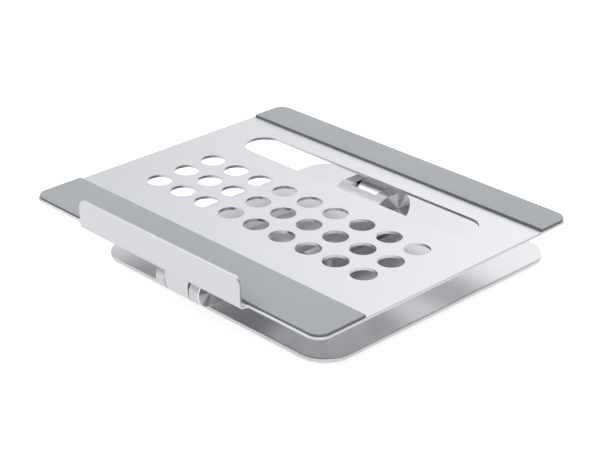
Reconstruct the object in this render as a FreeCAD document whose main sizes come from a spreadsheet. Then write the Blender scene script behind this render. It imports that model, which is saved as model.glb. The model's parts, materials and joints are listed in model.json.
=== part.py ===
import FreeCAD, Part
import math
import os
import Sketcher

# Folding laptop stand: a base plate, one wide arm and a perforated tray, joined by two friction hinges.
# Millimetres. +X is the stand's width, +Y runs to the back and +Z is up. The stand is modelled folded
# down, and the origin is on the desk under the middle of the whole folded stand.

# Driving dimensions, one cell each.
SIZES = {
    # tray plate
    "tray_width": 282.0,
    "tray_depth": 237.7,
    "tray_thickness": 2.0,
    "tray_corner": 10.0,
    "edge_round": 0.5,
    "hole_diameter": 18.0,
    "hole_pitch": 25.0,
    "hole_columns": 9,
    "hole_rows": 3,
    "grid_inset": 132.7,
    "slot_length": 217.6,
    "slot_width": 29.2,
    "slot_inset": 61.9,
    "slot_end_flat": 0.02,
    # lip that stops the laptop at the front
    "lip_width": 158.2,
    "lip_height": 20.4,
    "lip_reach": 6.5,
    "lip_corner": 6.0,
    "bend_inside": 2.0,
    "lip_relief": 2.2,
    # cushion pads on the tray
    "front_pad_depth": 39.6,
    "rear_pad_depth": 28.0,
    "pad_thickness": 1.8,
    "pad_inset": 1.0,
    "pad_round": 0.4,
    # base plate and its feet
    "base_width": 227.0,
    "base_depth": 227.5,
    "base_thickness": 3.1,
    "base_corner": 22.5,
    "base_round": 0.8,
    "foot_diameter": 26.0,
    "foot_thickness": 2.0,
    "foot_inset": 27.0,
    # where the plates and the two hinge axes lie
    "plate_gap": 40.4,
    "arm_length": 176.8,
    "rear_axis_inset": 63.3,
    "rear_axis_rise": 22.6,
    "front_axis_inset": 19.9,
    "front_axis_drop": 19.1,
    # arm
    "arm_width": 42.6,
    "rear_hub": 12.8,
    "front_hub": 10.3,
    "arm_plate": 7.0,
    "arm_plate_raise": 2.15,
    "hub_flat": 14.0,
    "hub_ramp": 14.0,
    "ramp_round": 20.0,
    "arm_chamfer": 0.5,
    # hinge hardware, the same at both hinges
    "knuckle_width": 22.6,
    "knuckle_gap": 0.6,
    "turning_gap": 0.8,
    "pin_diameter": 8.0,
    "pin_clearance": 0.05,
    "pin_head": 13.0,
    "pin_head_length": 2.4,
    "bush_wall": 1.5,
    "cup_diameter": 15.0,
    "cup_depth": 6.4,
    "cap_thickness": 1.6,
    "thrust_washer": 0.5,
    "thrust_diameter": 17.0,
    "friction_disc": 0.6,
    "disc_diameter": 14.0,
    "spring_washer": 0.5,
    "nut_flats": 11.0,
    "nut_length": 2.4,
    "side_play": 0.1,
    # brackets and their countersunk screws
    "flange_width": 41.0,
    "base_flange_front": 69.0,
    "base_flange_rear": 19.0,
    "base_flange_thickness": 4.0,
    "base_flange_corner": 9.0,
    "tray_flange_rear": 20.0,
    "tray_flange_thickness": 3.0,
    "tray_flange_corner": 4.0,
    "screw_diameter": 3.0,
    "screw_head": 6.0,
    "screw_head_length": 1.5,
    "screw_clearance": 0.2,
    "screw_spacing": 33.0,
    "base_screw_front": 57.0,
    "base_screw_rear": 8.0,
    "tray_screw_front": 5.0,
    "tray_screw_rear": 14.0,
    "socket_flats": 2.0,
    "socket_depth": 1.0,
    "thread_overrun": 1.0,
}

# Places worked out from the sizes, in the order they are needed.
PLACES = {
    "whole_depth": "lip_reach + front_axis_inset + arm_length + rear_axis_inset",
    "base_rear_y": "whole_depth / 2",
    "base_middle_y": "base_rear_y - base_depth / 2",
    "rear_axis_y": "base_rear_y - rear_axis_inset",
    "front_axis_y": "rear_axis_y - arm_length",
    "tray_front_y": "front_axis_y - front_axis_inset",
    "tray_rear_y": "tray_front_y + tray_depth",
    "tray_middle_y": "tray_front_y + tray_depth / 2",
    "lip_front_y": "tray_front_y - lip_reach",
    "base_top_z": "foot_thickness + base_thickness",
    "tray_under_z": "base_top_z + plate_gap",
    "tray_top_z": "tray_under_z + tray_thickness",
    "rear_axis_z": "base_top_z + rear_axis_rise",
    "front_axis_z": "tray_under_z - front_axis_drop",
    "arm_plate_z": "(rear_axis_z + front_axis_z) / 2 + arm_plate_raise",
    "half_arm": "arm_width / 2",
    "half_knuckle": "knuckle_width / 2",
    "fork_slot": "knuckle_width + 2 * knuckle_gap",
    "cup_floor": "half_arm - cup_depth",
    "pin_radius": "pin_diameter / 2",
    "bush_radius": "pin_radius + pin_clearance + bush_wall",
    "pin_end": "half_arm - cap_thickness - side_play",
    "disc_start": "cup_floor + side_play",
    "spring_start": "disc_start + friction_disc",
    "nut_start": "spring_start + 2 * spring_washer",
    "screw_radius": "screw_diameter / 2",
}

doc = FreeCAD.newDocument("laptop_stand")
sheet = doc.addObject("Spreadsheet::Sheet", "sizes")
for row, (name, number) in enumerate(SIZES.items(), start=1):
    sheet.set(f"A{row}", name)
    sheet.set(f"B{row}", str(number))
    sheet.setAlias(f"B{row}", name)
doc.recompute()
places = doc.addObject("App::VarSet", "places")


def bound(text):
    """Write a size or place expression in the document's own names."""
    words = []
    for word in text.replace("(", "( ").replace(")", " )").split():
        if word in SIZES:
            word = "sizes." + word
        elif word in PLACES:
            word = "places." + word
        words.append(word)
    return " ".join(words)


for name, text in PLACES.items():
    places.addProperty("App::PropertyFloat", name)
    places.setExpression(name, bound(text))
    doc.recompute()

X_AXIS = FreeCAD.Vector(1, 0, 0)
Y_AXIS = FreeCAD.Vector(0, 1, 0)
Z_AXIS = FreeCAD.Vector(0, 0, 1)
QUARTER_TURN = 90
HALF_TURN = 180
TOLERANCE = 0.01
LEAST_CUT = 0.1
UNDRIVEN_RADIUS = 10.0

nodes = []


def origin_feature(body, role):
    """One of the body's own origin planes or axes."""
    return next(feature for feature in body.Origin.OriginFeatures if feature.Role == role)


def new_body(label):
    body = doc.addObject("PartDesign::Body", label)
    body.Label = label
    nodes.append(body)
    return body


def new_sketch(body, role, offset):
    """Attach a sketch to one of the body's origin planes, moved by offset in the sketch's own axes."""
    sketch = body.newObject("Sketcher::SketchObject", body.Name + "_sketch")
    sketch.AttachmentSupport = [(origin_feature(body, role), "")]
    sketch.MapMode = "FlatFace"
    for axis, text in zip("xyz", offset):
        sketch.setExpression("AttachmentOffset.Base." + axis, bound(text))
    return sketch


def closed_lines(sketch, count):
    """Add a closed loop of straight lines, joined end to end: a regular polygon until it is driven."""
    first = sketch.GeometryCount
    angles = [2 * math.pi * turn / count for turn in range(count)]
    corners = [FreeCAD.Vector(math.cos(angle), math.sin(angle), 0) * UNDRIVEN_RADIUS for angle in angles]
    for turn in range(count):
        sketch.addGeometry(Part.LineSegment(corners[turn], corners[(turn + 1) % count]))
    for turn in range(count):
        following = first + (turn + 1) % count
        sketch.addConstraint(Sketcher.Constraint("Coincident", first + turn, 2, following, 1))
    return first


def drive(sketch, constraint, text):
    """Add a dimension to a sketch and bind it to an expression."""
    index = sketch.addConstraint(constraint)
    sketch.setExpression(f"Constraints[{index}]", bound(text))


def outline(body, role, offset, corners):
    """Sketch a polygon, each corner at its own pair of expressions."""
    sketch = new_sketch(body, role, offset)
    first = closed_lines(sketch, len(corners))
    for turn, (across, up) in enumerate(corners):
        drive(sketch, Sketcher.Constraint("DistanceX", -1, 1, first + turn, 1, 1.0), across)
        drive(sketch, Sketcher.Constraint("DistanceY", -1, 1, first + turn, 1, 1.0), up)
    return sketch


def rectangle(body, role, offset, width, height):
    """Sketch a rectangle centred on the offset."""
    corners = [(f"{across} * ( {width} ) / 2", f"{up} * ( {height} ) / 2")
               for across, up in ((-1, -1), (1, -1), (1, 1), (-1, 1))]
    return outline(body, role, offset, corners)


def circle(body, role, offset, radius):
    """Sketch a circle centred on the offset."""
    sketch = new_sketch(body, role, offset)
    sketch.addGeometry(Part.Circle(FreeCAD.Vector(), Z_AXIS, UNDRIVEN_RADIUS))
    sketch.addConstraint(Sketcher.Constraint("Coincident", 0, 3, -1, 1))
    drive(sketch, Sketcher.Constraint("Radius", 0, UNDRIVEN_RADIUS), radius)
    return sketch


def pad(body, sketch, length):
    feature = body.newObject("PartDesign::Pad", body.Name + "_pad")
    feature.Profile = sketch
    feature.setExpression("Length", bound(length))
    sketch.Visibility = False
    doc.recompute()
    return feature


def pocket(body, sketch, length):
    """Cut a sketch into the body along the sketch's own axis, and insist that something is cut."""
    doc.recompute()
    before = body.Shape.Volume
    feature = body.newObject("PartDesign::Pocket", body.Name + "_pocket")
    feature.Profile = sketch
    feature.Reversed = True
    feature.setExpression("Length", bound(length))
    doc.recompute()
    if body.Shape.Volume > before - LEAST_CUT:
        raise RuntimeError("nothing was cut from " + body.Label)
    return feature


def edges_where(shape, test):
    return [f"Edge{number}" for number, edge in enumerate(shape.Edges, start=1) if test(edge)]


def dress(body, kind, size, text, test):
    """Round or chamfer the edges of the body's tip that pass the test."""
    tip = body.Tip
    names = edges_where(tip.Shape, test)
    if not names:
        raise RuntimeError("no edge to dress on " + body.Label)
    feature = body.newObject("PartDesign::" + kind, body.Name + "_" + kind.lower())
    feature.Base = (tip, names)
    feature.setExpression(size, bound(text))
    doc.recompute()
    return feature


def fillet(body, radius, test):
    return dress(body, "Fillet", "Radius", radius, test)


def chamfer(body, size, test):
    return dress(body, "Chamfer", "Size", size, test)


def near(first, second):
    return abs(first - second) < TOLERANCE


def runs_along(edge, axis):
    """True for a straight edge parallel to X, Y or Z."""
    if not isinstance(edge.Curve, (Part.Line, Part.LineSegment)):
        return False
    direction = edge.Vertexes[-1].Point - edge.Vertexes[0].Point
    return near(abs(direction["xyz".index(axis)]), direction.Length)


def lies_in(edge, axis, value):
    """True for an edge that lies wholly in the plane where the axis has the value."""
    box = edge.BoundBox
    low, high = {"x": (box.XMin, box.XMax), "y": (box.YMin, box.YMax), "z": (box.ZMin, box.ZMax)}[axis]
    return near(low, value) and near(high, value)


def middle(edge):
    return edge.BoundBox.Center


def turned(kind, label, place, axis, angle):
    """A Part primitive turned about an axis, with its foot at place."""
    piece = doc.addObject("Part::" + kind, label)
    piece.Placement = FreeCAD.Placement(FreeCAD.Vector(), FreeCAD.Rotation(axis, angle))
    for letter, text in zip("xyz", place):
        piece.setExpression("Placement.Base." + letter, bound(text))
    return piece


def rod(label, start, length, radius, axis_y, axis_z):
    """A cylinder along X from start, round an axis at axis_y, axis_z."""
    piece = turned("Cylinder", label, (start, axis_y, axis_z), Y_AXIS, QUARTER_TURN)
    piece.setExpression("Height", bound(length))
    piece.setExpression("Radius", bound(radius))
    return piece


def cut(label, piece, tool):
    result = doc.addObject("Part::Cut", label)
    result.Base = piece
    result.Tool = tool
    return result


def fuse(label, pieces):
    result = doc.addObject("Part::MultiFuse", label)
    result.Shapes = pieces
    return result


def group(label, pieces):
    """Keep separate identical solids together as one node."""
    result = doc.addObject("Part::Compound", label)
    result.Links = pieces
    return result


def finish(piece, label):
    piece.Label = label
    nodes.append(piece)
    return piece


def ring(label, start, length, outer, inner, axis_y, axis_z):
    """A flat ring round an axis along X."""
    body = rod(label + "_blank", start, length, outer, axis_y, axis_z)
    bore = rod(label + "_bore", start, length, inner, axis_y, axis_z)
    return cut(label, body, bore)


# Tray: a plate with rounded corners, bent up at the front into a lip, with a grid of holes and a long slot.
tray = new_body("tray_plate")
pad(tray, rectangle(tray, "XY_Plane", ("0", "tray_middle_y", "tray_under_z"), "tray_width", "tray_depth"),
    "tray_thickness")
fillet(tray, "tray_corner", lambda edge: runs_along(edge, "z"))
lip_start = "-1 * lip_width / 2"
lip_root = [
    ("lip_front_y", "tray_under_z"),
    ("tray_front_y + tray_thickness", "tray_under_z"),
    ("tray_front_y + tray_thickness", "tray_top_z"),
    ("lip_front_y + tray_thickness", "tray_top_z"),
    ("lip_front_y + tray_thickness", "tray_top_z + lip_height"),
    ("lip_front_y", "tray_top_z + lip_height"),
]
pad(tray, outline(tray, "YZ_Plane", ("0", "0", lip_start), lip_root), "lip_width")
lip_top_z = places.tray_top_z + SIZES["lip_height"]
lip_back_y = places.lip_front_y + SIZES["tray_thickness"]
fillet(tray, "bend_inside + tray_thickness",
       lambda edge: lies_in(edge, "y", places.lip_front_y) and lies_in(edge, "z", places.tray_under_z))
fillet(tray, "bend_inside",
       lambda edge: lies_in(edge, "y", lip_back_y) and lies_in(edge, "z", places.tray_top_z))
fillet(tray, "lip_corner", lambda edge: runs_along(edge, "y") and lies_in(edge, "z", lip_top_z))
fillet(tray, "lip_relief",
       lambda edge: runs_along(edge, "z") and lies_in(edge, "y", places.tray_front_y))

hole = circle(tray, "XY_Plane",
              ("-1 * hole_pitch * ( hole_columns - 1 ) / 2",
               "tray_rear_y - grid_inset - hole_pitch * ( hole_rows - 1 ) / 2", "tray_under_z"),
              "hole_diameter / 2")
hole_cut = pocket(tray, hole, "tray_thickness")
grid = tray.newObject("PartDesign::MultiTransform", "tray_plate_grid")
grid.Originals = [hole_cut]
steps = []
for axis, count in (("X_Axis", "hole_columns"), ("Y_Axis", "hole_rows")):
    step = tray.newObject("PartDesign::LinearPattern", "tray_plate_" + count)
    step.Direction = (origin_feature(tray, axis), [""])
    step.Mode = "Spacing"
    step.setExpression("Offset", bound("hole_pitch"))
    step.setExpression("Occurrences", bound(count))
    steps.append(step)
grid.Transformations = steps
tray.Tip = grid
doc.recompute()

slot_y = "tray_rear_y - slot_inset"
pocket(tray, rectangle(tray, "XY_Plane", ("0", slot_y, "tray_under_z"), "slot_length", "slot_width"),
       "tray_thickness")
fillet(tray, "( slot_width - slot_end_flat ) / 2",
       lambda edge: runs_along(edge, "z") and near(abs(middle(edge).x), SIZES["slot_length"] / 2))


def on_plate_outline(edge):
    """True for the edges round the tray's sides and back, above and below."""
    if not (lies_in(edge, "z", places.tray_under_z) or lies_in(edge, "z", places.tray_top_z)):
        return False
    centre = middle(edge)
    at_side = abs(centre.x) > SIZES["tray_width"] / 2 - SIZES["tray_corner"]
    at_rear = near(centre.y, places.tray_rear_y)
    return at_side or at_rear


fillet(tray, "edge_round", on_plate_outline)

# Pads: flat cushions that follow the plate's corners.


def tray_pad(label, depth, outer_y, inward):
    """A cushion pad that runs inward from outer_y, its two outer corners following the plate's corners."""
    body = new_body(label)
    width = "tray_width - 2 * pad_inset"
    centre = f"{outer_y} + {inward} * {depth} / 2"
    pad(body, rectangle(body, "XY_Plane", ("0", centre, "tray_top_z"), width, depth), "pad_thickness")
    box = body.Shape.BoundBox
    outer = box.YMin if inward > 0 else box.YMax
    fillet(body, "tray_corner - pad_inset", lambda edge: runs_along(edge, "z") and lies_in(edge, "y", outer))
    fillet(body, "pad_round", lambda edge: lies_in(edge, "z", box.ZMax))


tray_pad("front_pad", "front_pad_depth", "tray_front_y + pad_inset", 1)
tray_pad("rear_pad", "rear_pad_depth", "tray_rear_y - pad_inset", -1)

# Base plate: a square plate with large round corners.
base = new_body("base_plate")
pad(base, rectangle(base, "XY_Plane", ("0", "base_middle_y", "foot_thickness"), "base_width", "base_depth"),
    "base_thickness")
fillet(base, "base_corner", lambda edge: runs_along(edge, "z"))
fillet(base, "base_round",
       lambda edge: lies_in(edge, "z", places.base_top_z) or lies_in(edge, "z", SIZES["foot_thickness"]))


def foot(column, row):
    """One round silicone foot, in a corner of the base plate."""
    piece = doc.addObject("Part::Cylinder", "foot")
    piece.setExpression("Radius", bound("foot_diameter / 2"))
    piece.setExpression("Height", bound("foot_thickness"))
    piece.setExpression("Placement.Base.x", bound(f"{column} * ( base_width / 2 - foot_inset )"))
    piece.setExpression("Placement.Base.y", bound(f"base_middle_y + {row} * ( base_depth / 2 - foot_inset )"))
    return piece


finish(group("base_feet", [foot(column, row) for column in (-1, 1) for row in (-1, 1)]), "base_feet")

# Arm: a flat plate with a thick hub at each end, each hub forked round a knuckle.
arm = new_body("arm")
plate_top = "arm_plate_z + arm_plate / 2"
plate_bottom = "arm_plate_z - arm_plate / 2"
front_flat = "front_axis_y + hub_flat"
front_ramp = "front_axis_y + hub_flat + hub_ramp"
rear_flat = "rear_axis_y - hub_flat"
rear_ramp = "rear_axis_y - hub_flat - hub_ramp"
side_view = [
    ("front_axis_y", "front_axis_z - front_hub"),
    (front_flat, "front_axis_z - front_hub"),
    (front_ramp, plate_bottom),
    (rear_ramp, plate_bottom),
    (rear_flat, "rear_axis_z - rear_hub"),
    ("rear_axis_y", "rear_axis_z - rear_hub"),
    ("rear_axis_y", "rear_axis_z + rear_hub"),
    (rear_flat, "rear_axis_z + rear_hub"),
    (rear_ramp, plate_top),
    (front_ramp, plate_top),
    (front_flat, "front_axis_z + front_hub"),
    ("front_axis_y", "front_axis_z + front_hub"),
]
pad(arm, outline(arm, "YZ_Plane", ("0", "0", "-1 * half_arm"), side_view), "arm_width")
first_bend_y = places.front_axis_y + TOLERANCE
last_bend_y = places.rear_axis_y - TOLERANCE
fillet(arm, "ramp_round", lambda edge: runs_along(edge, "x") and first_bend_y < middle(edge).y < last_bend_y)
AXES = {
    "front": ("front_axis_y", "front_axis_z", "front_hub"),
    "rear": ("rear_axis_y", "rear_axis_z", "rear_hub"),
}
for axis_y, axis_z, hub in AXES.values():
    pad(arm, circle(arm, "YZ_Plane", (axis_y, axis_z, "-1 * half_arm"), hub), "arm_width")
half_arm = places.half_arm
chamfer(arm, "arm_chamfer", lambda edge: lies_in(edge, "x", half_arm) or lies_in(edge, "x", -half_arm))
for axis_y, axis_z, hub in AXES.values():
    depth = f"2 * {hub} + 2 * turning_gap"
    pocket(arm, rectangle(arm, "XY_Plane", ("0", axis_y, "0"), "fork_slot", depth), "tray_top_z")
    pocket(arm, circle(arm, "YZ_Plane", (axis_y, axis_z, "-1 * half_arm"), "bush_radius"), "arm_width")
    pocket(arm, circle(arm, "YZ_Plane", (axis_y, axis_z, "cup_floor"), "cup_diameter / 2"), "cup_depth")
    pocket(arm, circle(arm, "YZ_Plane", (axis_y, axis_z, "-1 * half_arm"), "cup_diameter / 2"), "cup_depth")

# Hinge hardware, the same stack at each hinge: a headed pin, bushes in the fork, washers, a nut and caps.


def hexagon(piece, flats, height):
    """Size a prism by the distance across its six flats."""
    piece.Polygon = 6
    piece.setExpression("Circumradius", bound(f"{flats} / 2 / cos( 30 deg )"))
    piece.setExpression("Height", bound(height))


def hex_nut(label, start, length, flats, axis_y, axis_z):
    """A hexagonal nut round an axis along X."""
    piece = turned("Prism", label + "_blank", (start, axis_y, axis_z), Y_AXIS, QUARTER_TURN)
    hexagon(piece, flats, length)
    return cut(label, piece, rod(label + "_bore", start, length, "pin_radius", axis_y, axis_z))


def mirrored_rings(label, start, length, outer, inner, axis_y, axis_z):
    """Two equal rings, one on each side of the stand's middle plane."""
    right = ring(label + "_right", start, length, outer, inner, axis_y, axis_z)
    left = ring(label + "_left", f"-1 * ( {start} ) - ( {length} )", length, outer, inner, axis_y, axis_z)
    return group(label, [right, left])


def hinge_hardware(side):
    axis_y, axis_z = AXES[side][:2]
    name = side + "_hinge_"
    head_start = "-1 * cup_floor - side_play - pin_head_length"
    shank = rod(name + "shank", head_start, "pin_end - ( " + head_start + " )", "pin_radius", axis_y, axis_z)
    head = rod(name + "head", head_start, "pin_head_length", "pin_head / 2", axis_y, axis_z)
    finish(fuse(name + "pin", [shank, head]), name + "pin")
    bushes = mirrored_rings(name + "bushes", "half_knuckle + knuckle_gap",
                            "cup_floor - half_knuckle - knuckle_gap", "bush_radius",
                            "pin_radius + pin_clearance", axis_y, axis_z)
    finish(bushes, name + "bushes")
    washers = mirrored_rings(name + "thrust_washers", "half_knuckle", "thrust_washer",
                             "thrust_diameter / 2", "pin_radius", axis_y, axis_z)
    finish(washers, name + "thrust_washers")
    disc = ring(name + "friction_disc", "disc_start", "friction_disc", "disc_diameter / 2", "pin_radius",
                axis_y, axis_z)
    finish(disc, name + "friction_disc")
    springs = [ring(name + f"spring_{number}", f"spring_start + {number} * spring_washer", "spring_washer",
                    "disc_diameter / 2", "pin_radius", axis_y, axis_z) for number in (0, 1)]
    finish(group(name + "spring_washers", springs), name + "spring_washers")
    nut = hex_nut(name + "nut", "nut_start", "nut_length", "nut_flats", axis_y, axis_z)
    finish(nut, name + "nut")
    cap_start = "half_arm - cap_thickness"
    caps = [rod(name + "cap_right", cap_start, "cap_thickness", "cup_diameter / 2", axis_y, axis_z),
            rod(name + "cap_left", "-1 * half_arm", "cap_thickness", "cup_diameter / 2", axis_y, axis_z)]
    finish(group(name + "caps", caps), name + "caps")


for side in AXES:
    hinge_hardware(side)

# Brackets: each is a screwed flange with a knuckle block that fills the fork of the arm.


def bracket(label, side, flange_corners, flange_z, flange_thickness, corner, block):
    """A flange with a block and a round knuckle on the hinge axis, bored for the pin."""
    axis_y, axis_z, hub = AXES[side]
    body = new_body(label)
    pad(body, outline(body, "XY_Plane", ("0", "0", flange_z), flange_corners), flange_thickness)
    fillet(body, corner, lambda edge: runs_along(edge, "z"))
    block_start, block_height = block
    pad(body, rectangle(body, "XY_Plane", ("0", axis_y, block_start), "knuckle_width", f"2 * {hub}"),
        block_height)
    pad(body, circle(body, "YZ_Plane", (axis_y, axis_z, "-1 * half_knuckle"), hub), "knuckle_width")
    pocket(body, circle(body, "YZ_Plane", (axis_y, axis_z, "-1 * half_knuckle"), "pin_radius"),
           "knuckle_width")
    return body


def flange_outline(front, rear):
    half = "flange_width / 2"
    return [(f"-1 * {half}", front), (half, front), (half, rear), (f"-1 * {half}", rear)]


base_bracket = bracket("base_bracket", "rear",
                       flange_outline("rear_axis_y - base_flange_front", "rear_axis_y + base_flange_rear"),
                       "base_top_z", "base_flange_thickness", "base_flange_corner",
                       ("base_top_z", "rear_axis_z - base_top_z"))
tray_bracket = bracket("tray_bracket", "front",
                       flange_outline("front_axis_y - front_hub", "front_axis_y + tray_flange_rear"),
                       "tray_under_z - tray_flange_thickness", "tray_flange_thickness",
                       "tray_flange_corner", ("front_axis_z", "tray_under_z - front_axis_z"))

# Screws: countersunk, with a hexagonal socket, up through the base plate and down through the tray plate.


def screw_blank(label, place, tip, shank, radius):
    """A screw's outer shape, its tip pointing at the angle: a cone head on a round shank."""
    head = turned("Cone", label + "_head", place, X_AXIS, tip)
    head.setExpression("Radius1", bound("screw_head / 2"))
    head.setExpression("Radius2", bound("screw_radius"))
    head.setExpression("Height", bound("screw_head_length"))
    return fuse(label, [head, shank_rod(label + "_shank", place, tip, shank, radius)])


def shank_rod(label, place, tip, length, radius):
    piece = turned("Cylinder", label, place, X_AXIS, tip)
    piece.setExpression("Radius", bound(radius))
    piece.setExpression("Height", bound(length))
    return piece


def socket(label, place, tip):
    piece = turned("Prism", label, place, X_AXIS, tip)
    hexagon(piece, "socket_flats", "socket_depth")
    return piece


def screw_places(front, rear, head_z):
    across = "screw_spacing / 2"
    return [(f"{sign} * {across}", along, head_z) for sign in (-1, 1) for along in (front, rear)]


def fix(name, plate, flange, positions, tip, length):
    """Make four screws, with clearance holes in the plate and threaded holes right through the flange."""
    screws = []
    holes = []
    threads = []
    for number, place in enumerate(positions):
        label = f"{name}_{number}"
        blank = screw_blank(label + "_blank", place, tip, length, "screw_radius")
        screws.append(cut(label, blank, socket(label + "_socket", place, tip)))
        holes.append(screw_blank(label + "_hole", place, tip, length, "screw_radius + screw_clearance"))
        threads.append(shank_rod(label + "_thread", place, tip, length + " + thread_overrun", "screw_radius"))
    finish(group(name, screws), name)
    drill(plate, fuse(name + "_holes", holes))
    drill(flange, fuse(name + "_threads", threads))


def drill(body, tool):
    """Replace a node's plain body by the body with the tool cut out of it."""
    label = body.Label
    nodes.remove(body)
    body.Label = label + "_undrilled"
    finish(cut(label + "_drilled", body, tool), label)


fix("base_bracket_screws", base, base_bracket,
    screw_places("rear_axis_y - base_screw_front", "rear_axis_y + base_screw_rear", "foot_thickness"), 0,
    "base_thickness + base_flange_thickness")
fix("tray_bracket_screws", tray, tray_bracket,
    screw_places("front_axis_y - tray_screw_front", "front_axis_y + tray_screw_rear", "tray_top_z"),
    HALF_TURN, "tray_thickness + tray_flange_thickness")

# Check the whole document, then write one file for each node.
doc.recompute()
for piece in doc.Objects:
    if "Invalid" in piece.State or "Error" in piece.State:
        raise RuntimeError(f"{piece.Label} failed: {piece.State}")
os.makedirs("parts", exist_ok=True)
for piece in nodes:
    if piece.Shape.isNull() or not piece.Shape.isValid():
        raise RuntimeError(piece.Label + " has no valid shape")
    piece.Shape.exportStep(f"parts/{piece.Label}.step")
    print(piece.Label, len(piece.Shape.Solids), round(piece.Shape.Volume, 1))
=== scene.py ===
import json
import math
import bmesh
import bpy
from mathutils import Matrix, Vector


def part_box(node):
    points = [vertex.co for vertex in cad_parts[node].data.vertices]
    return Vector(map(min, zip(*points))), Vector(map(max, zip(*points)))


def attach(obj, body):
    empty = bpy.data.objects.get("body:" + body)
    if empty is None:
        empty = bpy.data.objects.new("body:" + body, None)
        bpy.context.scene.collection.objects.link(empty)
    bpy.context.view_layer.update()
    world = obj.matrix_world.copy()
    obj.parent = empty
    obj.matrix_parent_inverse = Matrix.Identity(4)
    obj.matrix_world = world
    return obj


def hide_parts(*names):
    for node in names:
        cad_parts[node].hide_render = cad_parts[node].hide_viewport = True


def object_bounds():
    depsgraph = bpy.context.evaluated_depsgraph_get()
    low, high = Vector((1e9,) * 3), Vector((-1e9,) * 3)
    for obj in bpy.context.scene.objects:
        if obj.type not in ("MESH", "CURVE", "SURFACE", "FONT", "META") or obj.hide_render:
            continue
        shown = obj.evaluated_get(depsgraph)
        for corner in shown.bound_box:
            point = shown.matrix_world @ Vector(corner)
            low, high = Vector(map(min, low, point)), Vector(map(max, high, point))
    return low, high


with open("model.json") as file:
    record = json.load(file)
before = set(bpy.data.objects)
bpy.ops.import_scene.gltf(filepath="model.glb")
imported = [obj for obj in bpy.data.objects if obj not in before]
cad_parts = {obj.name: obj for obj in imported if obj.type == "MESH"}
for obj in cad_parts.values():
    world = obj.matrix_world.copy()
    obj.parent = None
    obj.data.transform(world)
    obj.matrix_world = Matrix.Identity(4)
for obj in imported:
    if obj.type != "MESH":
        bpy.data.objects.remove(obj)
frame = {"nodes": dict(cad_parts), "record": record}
cad_low, cad_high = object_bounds()

MM = 0.001

# Where things are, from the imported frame.
joints = {joint["name"]: joint for joint in frame["record"]["behaviour"]["joints"]}
rear_axis = Vector(joints["arm_lift"]["pos_m"])
front_axis = Vector(joints["tray_tilt"]["pos_m"])
arm_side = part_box("arm")[1][0]


# ---------------------------------------------------------------- material nodes


class Graph:
    """A material's node tree, with short calls to add and join nodes."""

    def __init__(self, name):
        self.material = bpy.data.materials.new(name)
        self.material.use_nodes = True
        self.tree = self.material.node_tree
        self.shader = self.tree.nodes["Principled BSDF"]

    def set(self, **values):
        for key, value in values.items():
            self.shader.inputs[key.replace("_", " ")].default_value = value

    def node(self, kind, settings=None, **links):
        node = self.tree.nodes.new("ShaderNode" + kind)
        for key, value in (settings or {}).items():
            setattr(node, key, value)
        for key, value in links.items():
            number = key[1:]
            socket = node.inputs[int(number) if number.isdigit() else key.replace("_", " ")]
            if isinstance(value, bpy.types.NodeSocket):
                self.tree.links.new(value, socket)
            else:
                socket.default_value = value
        return node

    def maths(self, operation, first, second=0.0, third=0.0):
        return self.node("Math", {"operation": operation}, _0=first, _1=second, _2=third).outputs[0]

    def place(self, stretch=(1, 1, 1)):
        """The point in the row frame, in metres, stretched along each axis."""
        point = self.node("TexCoord").outputs["Object"]
        if stretch == (1, 1, 1):
            return point
        return self.node("Mapping", Vector=point, Scale=stretch).outputs[0]

    def noise(self, scale, detail=2.0, stretch=(1, 1, 1), roughness=0.5):
        return self.node("TexNoise", Vector=self.place(stretch), Scale=scale, Detail=detail,
                         Roughness=roughness).outputs["Fac"]

    def between(self, factor, low, high):
        """Spread a 0 to 1 value from low to high."""
        return self.node("MapRange", Value=factor, To_Min=low, To_Max=high).outputs[0]

    def tint(self, factor, dark, light):
        ramp = self.node("ValToRGB", Fac=factor)
        ramp.color_ramp.elements[0].position = 0.3
        ramp.color_ramp.elements[0].color = (*dark, 1)
        ramp.color_ramp.elements[1].position = 0.7
        ramp.color_ramp.elements[1].color = (*light, 1)
        return ramp.outputs[0]

    def mix(self, data_type, factor, first, second):
        """The first value where the factor is 0, and the second where it is 1."""
        sockets = {"FLOAT": (2, 3, 0), "VECTOR": (4, 5, 1), "RGBA": (6, 7, 2)}
        first_input, second_input, output = sockets[data_type]
        links = {"_0": factor, f"_{first_input}": first, f"_{second_input}": second}
        return self.node("Mix", {"data_type": data_type}, **links).outputs[output]

    def vector(self, operation, first, second=(0, 0, 0)):
        return self.node("VectorMath", {"operation": operation}, _0=first, _1=second).outputs[0]

    def bump(self, height, strength, distance):
        return self.node("Bump", Height=height, Strength=strength, Distance=distance).outputs[0]

    def join(self, output, name):
        self.tree.links.new(output, self.shader.inputs[name])


def blasted_aluminium(name, dark, light, roughness):
    """Bead-blasted silver anodising: a fine even grain, with faint broad changes of tone and gloss."""
    graph = Graph(name)
    graph.set(Metallic=1.0)
    broad = graph.noise(9.0, 3.0)
    grain = graph.noise(3200.0, 2.0)
    graph.join(graph.tint(broad, dark, light), "Base Color")
    gloss_change = 0.05
    grain_change = 0.08
    gloss = graph.between(broad, roughness - gloss_change, roughness)
    graph.join(graph.maths("MULTIPLY_ADD", grain, grain_change, gloss), "Roughness")
    graph.join(graph.bump(grain, 0.12, 0.05 * MM), "Normal")
    return graph.material


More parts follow.
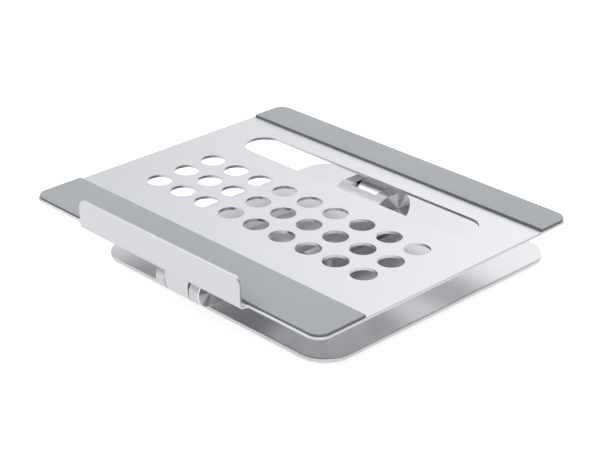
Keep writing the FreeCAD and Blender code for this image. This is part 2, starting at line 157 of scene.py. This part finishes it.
def turned_aluminium(name):
    """The arm and caps: brushed in lines along the hinge axes, with side faces turned about each hinge, a
    painted reflection fan on the sides and a painted highlight along the side edges.
    """
    graph = Graph(name)
    graph.set(Metallic=1.0, Anisotropic=0.92)
    side_depth = 0.02 * MM
    highlight_edge_width = 0.5 * MM
    lobe_count = 4.0
    lobe_start = 0.2
    lobe_strength = 0.32
    sweep_strength = 0.9
    reflection_fan_offset = 0.05
    point = graph.place()
    axes = graph.node("SeparateXYZ", _0=point)
    from_middle = graph.maths("ABSOLUTE", axes.outputs[0])
    side = graph.maths("GREATER_THAN", from_middle, arm_side - side_depth)
    painted_highlight_edge = graph.maths("GREATER_THAN", from_middle, arm_side - highlight_edge_width)
    at_rear = graph.maths("GREATER_THAN", axes.outputs[1], (rear_axis.y + front_axis.y) / 2)

    # Rings about the nearer hinge on the sides, lines along X on the rest. The highlight runs
    # along the tangent, so the tangent is the spoke there and lies across the lines here.
    hub = graph.mix("VECTOR", at_rear, tuple(front_axis), tuple(rear_axis))
    spoke = graph.vector("SUBTRACT", point, hub)
    flat = graph.vector("MULTIPLY", spoke, (0, 1, 1))
    outward = graph.node("VectorTransform", {"vector_type": "VECTOR", "convert_from": "OBJECT",
                                             "convert_to": "WORLD"}, _0=flat).outputs[0]
    normal = graph.node("NewGeometry").outputs["Normal"]
    across = graph.vector("CROSS_PRODUCT", normal, (1, 0, 0))
    tangent = graph.vector("NORMALIZE", graph.mix("VECTOR", side, across, outward))
    graph.join(tangent, "Tangent")

    reach = graph.node("VectorMath", {"operation": "LENGTH"}, _0=flat).outputs["Value"]
    rings = graph.node("TexNoise", {"noise_dimensions": "1D"}, W=reach, Scale=5200.0, Detail=3.0)
    brushed = graph.noise(2600.0, 3.0, (0.02, 1, 1))
    texture = graph.mix("FLOAT", side, brushed, rings.outputs[0])

    # A painted reflection: a fan of painted highlight and painted shade sectors about each hinge, a fixed
    # pattern in the metal's colour.
    spoke_axes = graph.node("SeparateXYZ", _0=spoke)
    angle = graph.maths("ARCTAN2", spoke_axes.outputs[2], spoke_axes.outputs[1])
    reflection_lobes = graph.maths("SINE", graph.maths("MULTIPLY_ADD", angle, lobe_count, lobe_start))
    reflection_sweep = graph.node("TexNoise", {"noise_dimensions": "1D"}, W=angle, Scale=2.2, Detail=1.0).outputs["Fac"]
    even_reflection_fan = graph.maths("MULTIPLY_ADD", reflection_lobes, lobe_strength, reflection_fan_offset)
    painted_reflection_fan = graph.maths("MULTIPLY_ADD", reflection_sweep, sweep_strength, even_reflection_fan)
    side_reflection_tint = graph.tint(painted_reflection_fan, (0.45, 0.455, 0.47), (0.95, 0.955, 0.97))
    top_tint = graph.tint(texture, (0.56, 0.565, 0.58), (0.74, 0.745, 0.76))
    # A painted highlight: the band along the arm's side edges, where the chamfer catches the light, is
    # painted near white.
    top_tint = graph.mix("RGBA", painted_highlight_edge, top_tint, (0.93, 0.935, 0.95, 1))
    graph.join(graph.mix("RGBA", side, top_tint, side_reflection_tint), "Base Color")

    top_gloss = graph.between(texture, 0.20, 0.27)
    side_gloss = graph.between(texture, 0.24, 0.32)
    graph.join(graph.mix("FLOAT", side, top_gloss, side_gloss), "Roughness")
    graph.join(graph.bump(texture, 0.1, 0.02 * MM), "Normal")
    return graph.material


def silicone(name, dark, light):
    """Matte moulded silicone with a fine grain and a little dust in it."""
    graph = Graph(name)
    grain = graph.noise(1800.0, 4.0, roughness=0.6)
    broad = graph.noise(14.0, 3.0)
    graph.set(IOR=1.42)
    graph.join(graph.tint(broad, dark, light), "Base Color")
    graph.join(graph.between(grain, 0.52, 0.7), "Roughness")
    graph.join(graph.bump(grain, 0.25, 0.08 * MM), "Normal")
    return graph.material


def turned_steel(name, dark, light):
    """Zinc-plated turned steel for the hinge hardware and screws."""
    graph = Graph(name)
    graph.set(Metallic=1.0, Anisotropic=0.4)
    scratches = graph.noise(1500.0, 4.0, (1, 0.2, 0.2))
    graph.join(graph.tint(scratches, dark, light), "Base Color")
    graph.join(graph.between(scratches, 0.22, 0.42), "Roughness")
    graph.join(graph.bump(scratches, 0.1, 0.03 * MM), "Normal")
    return graph.material


def acetal(name):
    """Black acetal for the bushes and washers."""
    graph = Graph(name)
    grain = graph.noise(900.0, 3.0)
    graph.join(graph.tint(grain, (0.012, 0.012, 0.013), (0.03, 0.03, 0.032)), "Base Color")
    graph.join(graph.between(grain, 0.38, 0.55), "Roughness")
    graph.join(graph.bump(grain, 0.2, 0.05 * MM), "Normal")
    return graph.material


plate_metal = blasted_aluminium("plate_aluminium", (0.71, 0.715, 0.74), (0.735, 0.74, 0.765), 0.33)
base_metal = blasted_aluminium("base_aluminium", (0.68, 0.685, 0.705), (0.71, 0.715, 0.735), 0.29)
arm_metal = turned_aluminium("arm_aluminium")
knuckle_metal = blasted_aluminium("knuckle_aluminium", (0.70, 0.705, 0.725), (0.755, 0.76, 0.78), 0.28)
pad_rubber = silicone("pad_silicone", (0.425, 0.440, 0.462), (0.445, 0.460, 0.482))
# Darker silicone for the pads' straight sides: painted shade, as the pad is one silicone throughout.
pad_side_shade_rubber = silicone("pad_side_shade_silicone", (0.210, 0.217, 0.228), (0.240, 0.247, 0.258))
foot_rubber = silicone("foot_silicone", (0.20, 0.21, 0.22), (0.24, 0.25, 0.26))
steel = turned_steel("hinge_steel", (0.42, 0.43, 0.45), (0.60, 0.61, 0.63))
plastic = acetal("bush_acetal")

NODE_METALS = {"tray_plate": plate_metal, "base_plate": base_metal, "arm": arm_metal,
               "base_bracket": knuckle_metal, "tray_bracket": knuckle_metal}


def give(piece, material):
    piece.data.materials.clear()
    piece.data.materials.append(material)


def finish_of(node):
    if node in NODE_METALS:
        return NODE_METALS[node]
    if node.endswith("caps"):
        return arm_metal
    if node.endswith(("bushes", "thrust_washers", "friction_disc")):
        return plastic
    return steel


for name, piece in frame["nodes"].items():
    give(piece, finish_of(name))


# ---------------------------------------------------------------- silicone pieces


def rounded_outline(low, high, radii, steps=14):
    """Points of a rectangle whose corners have their own radii, counter-clockwise from the near left."""
    corners = ((low.x, low.y, 1, 1), (high.x, low.y, -1, 1),
               (high.x, high.y, -1, -1), (low.x, high.y, 1, -1))
    points = []
    for number, ((x, y, inward_x, inward_y), radius) in enumerate(zip(corners, radii)):
        if radius == 0:
            points.append((x, y))
            continue
        start = math.pi + number * math.pi / 2
        for step in range(steps + 1):
            angle = start + math.pi / 2 * step / steps
            points.append((x + inward_x * radius + radius * math.cos(angle),
                           y + inward_y * radius + radius * math.sin(angle)))
    return points


def mesh_piece(name, bm, material):
    bmesh.ops.recalc_face_normals(bm, faces=bm.faces)
    mesh = bpy.data.meshes.new(name)
    bm.to_mesh(mesh)
    bm.free()
    for face in mesh.polygons:
        face.use_smooth = True
    piece = bpy.data.objects.new(name, mesh)
    bpy.context.collection.objects.link(piece)
    piece.data.materials.append(material)
    return piece


def rise(bm, outline, z):
    return [bm.verts.new((x, y, z)) for x, y in outline]


def skin(bm, lower, upper):
    count = len(lower)
    for turn in range(count):
        following = (turn + 1) % count
        bm.faces.new((lower[turn], lower[following], upper[following], upper[turn]))


def moulded_pad(name, node, outer_at_front):
    """A flat silicone pad: straight sides in a darker silicone that paints shade on them, and a top edge
    rolled over to a flat face.
    """
    low, high = (Vector(corner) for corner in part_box(node))
    corner = 9.0 * MM
    roll = 0.4 * MM
    roll_steps = 5
    radii = (corner, corner, 0, 0) if outer_at_front else (0, 0, corner, corner)
    bm = bmesh.new()
    rings = [rise(bm, rounded_outline(low, high, radii), low.z)]
    for step in range(roll_steps + 1):
        angle = math.pi / 2 * step / roll_steps
        inset = roll * (1 - math.cos(angle))
        shrunk = tuple(max(radius - inset, 0) for radius in radii)
        inner_low = low + Vector((inset, inset, 0))
        inner_high = high - Vector((inset, inset, 0))
        rings.append(rise(bm, rounded_outline(inner_low, inner_high, shrunk),
                          high.z - roll + roll * math.sin(angle)))
    skin(bm, rings[0], rings[1])
    # The straight sides take the darker silicone: painted shade along the pad's edge.
    for face in bm.faces:
        face.material_index = 1
    for lower, upper in zip(rings[1:], rings[2:]):
        skin(bm, lower, upper)
    bm.faces.new(rings[0][::-1])
    bm.faces.new(rings[-1])
    piece = mesh_piece(name, bm, pad_rubber)
    piece.data.materials.append(pad_side_shade_rubber)
    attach(piece, "tray")
    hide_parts(node)
    return piece


moulded_pad("front_silicone_pad", "front_pad", True)
moulded_pad("rear_silicone_pad", "rear_pad", False)


def moulded_feet(name, node):
    """Four round feet: a rolled rim round a shallow dish that grips the desk."""
    low, high = (Vector(corner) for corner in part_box(node))
    radius = 13.0 * MM
    depth = high.z - low.z
    turns = 64
    # Shares of the radius and of the depth, from the dish's flat middle out to the top.
    profile = [(0.62, 0.35), (0.70, 0.3), (0.76, 0.08), (0.82, 0.0), (0.90, 0.0), (0.955, 0.06),
               (0.99, 0.22), (1.0, 0.42), (1.0, 1.0)]
    bm = bmesh.new()
    for x in (low.x + radius, high.x - radius):
        for y in (low.y + radius, high.y - radius):
            rings = []
            for reach, lift in profile:
                outline = [(x + radius * reach * math.cos(math.tau * turn / turns),
                            y + radius * reach * math.sin(math.tau * turn / turns)) for turn in range(turns)]
                rings.append(rise(bm, outline, low.z + depth * lift))
            for lower, upper in zip(rings, rings[1:]):
                skin(bm, lower, upper)
            bm.faces.new(rings[0][::-1])
            bm.faces.new(rings[-1])
    piece = mesh_piece(name, bm, foot_rubber)
    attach(piece, "base")
    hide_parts(node)
    return piece


moulded_feet("silicone_feet", "base_feet")


# ---------------------------------------------------------------- studio


def studio_floor():
    """A plain pale floor that glows to the camera and to first reflections, and is dim and dark to later
    bounces, so that the gap between the plates is dim."""
    half = 4.0
    later_glow = 0.20
    reflected_glow = 0.62
    seen_change = -0.1
    bm = bmesh.new()
    corners = ((-half, -half), (half, -half), (half, half), (-half, half))
    bm.faces.new(rise(bm, corners, 0))
    graph = Graph("studio_floor")
    paper = graph.noise(40.0, 3.0)
    path = graph.node("LightPath")
    seen = graph.maths("LESS_THAN", path.outputs["Ray Depth"], 0.5)
    mirrored = graph.maths("LESS_THAN", path.outputs["Ray Depth"], 1.5)
    pale = graph.tint(paper, (0.93, 0.93, 0.93), (0.94, 0.94, 0.94))
    graph.join(graph.mix("RGBA", seen, (0.15, 0.15, 0.155, 1), pale), "Base Color")
    glow = graph.maths("MULTIPLY_ADD", mirrored, reflected_glow, later_glow)
    graph.join(graph.maths("MULTIPLY_ADD", seen, seen_change, glow), "Emission Strength")
    graph.set(Roughness=0.9, Emission_Color=(1, 1, 1, 1))
    floor = mesh_piece("floor", bm, graph.material)


def softbox(name, place, target, size, power):
    light = bpy.data.lights.new(name, "AREA")
    light.shape = "RECTANGLE"
    light.size, light.size_y = size
    light.energy = power
    lamp = bpy.data.objects.new(name, light)
    bpy.context.collection.objects.link(lamp)
    lamp.location = place
    lamp.rotation_mode = "QUATERNION"
    lamp.rotation_quaternion = (Vector(target) - Vector(place)).to_track_quat("-Z", "Y")


def studio_air():
    """White surroundings that fade a little to the left, with one dark panel behind and to the right."""
    world = bpy.data.worlds.new("studio")
    bpy.context.scene.world = world
    world.use_nodes = True
    tree = world.node_tree
    ray = tree.nodes.new("ShaderNodeTexCoord").outputs["Generated"]

    def fade(direction, start, end, low, high):
        """A value that goes smoothly from low to high as the ray turns towards the direction."""
        lean = tree.nodes.new("ShaderNodeVectorMath")
        lean.operation = "DOT_PRODUCT"
        tree.links.new(ray, lean.inputs[0])
        lean.inputs[1].default_value = Vector(direction).normalized()
        spread = tree.nodes.new("ShaderNodeMapRange")
        spread.interpolation_type = "SMOOTHSTEP"
        tree.links.new(lean.outputs["Value"], spread.inputs["Value"])
        for name, value in zip(("From Min", "From Max", "To Min", "To Max"), (start, end, low, high)):
            spread.inputs[name].default_value = value
        return spread.outputs["Result"]

    strength = tree.nodes.new("ShaderNodeMath")
    strength.operation = "MULTIPLY"
    tree.links.new(fade((0.70, 0.72, 0.0), -0.5, 0.5, 0.60, 1.54), strength.inputs[0])
    tree.links.new(fade((0.80, 0.45, 0.35), 0.55, 0.80, 1.0, 0.22), strength.inputs[1])
    tree.links.new(strength.outputs[0], tree.nodes["Background"].inputs["Strength"])
    tree.nodes["Background"].inputs["Color"].default_value = (0.985, 0.99, 1.0, 1)
    bpy.context.scene.view_settings.view_transform = "Standard"


def studio_camera():
    """Look down at the stand from the front right, with a long lens."""
    azimuth = math.radians(45.81)
    elevation = math.radians(26.02)
    distance = 1178.9 * MM
    middle = (cad_low + cad_high) / 2
    aim = middle + Vector((2.0, -1.7, -5.3)) * MM
    back = Vector((math.sin(azimuth) * math.cos(elevation), -math.cos(azimuth) * math.cos(elevation),
                   math.sin(elevation)))
    data = bpy.data.cameras.new("camera")
    data.sensor_width = 36
    data.lens = 100.57
    camera = bpy.data.objects.new("camera", data)
    bpy.context.collection.objects.link(camera)
    camera.location = aim + back * distance
    camera.rotation_euler = (math.pi / 2 - elevation, 0, azimuth)
    bpy.context.scene.camera = camera


studio_floor()
studio_air()
softbox("front_left_light", (-3.0, -2.1, 3.2), (0, 0, 0), (2.4, 2.4), 42)
studio_camera()
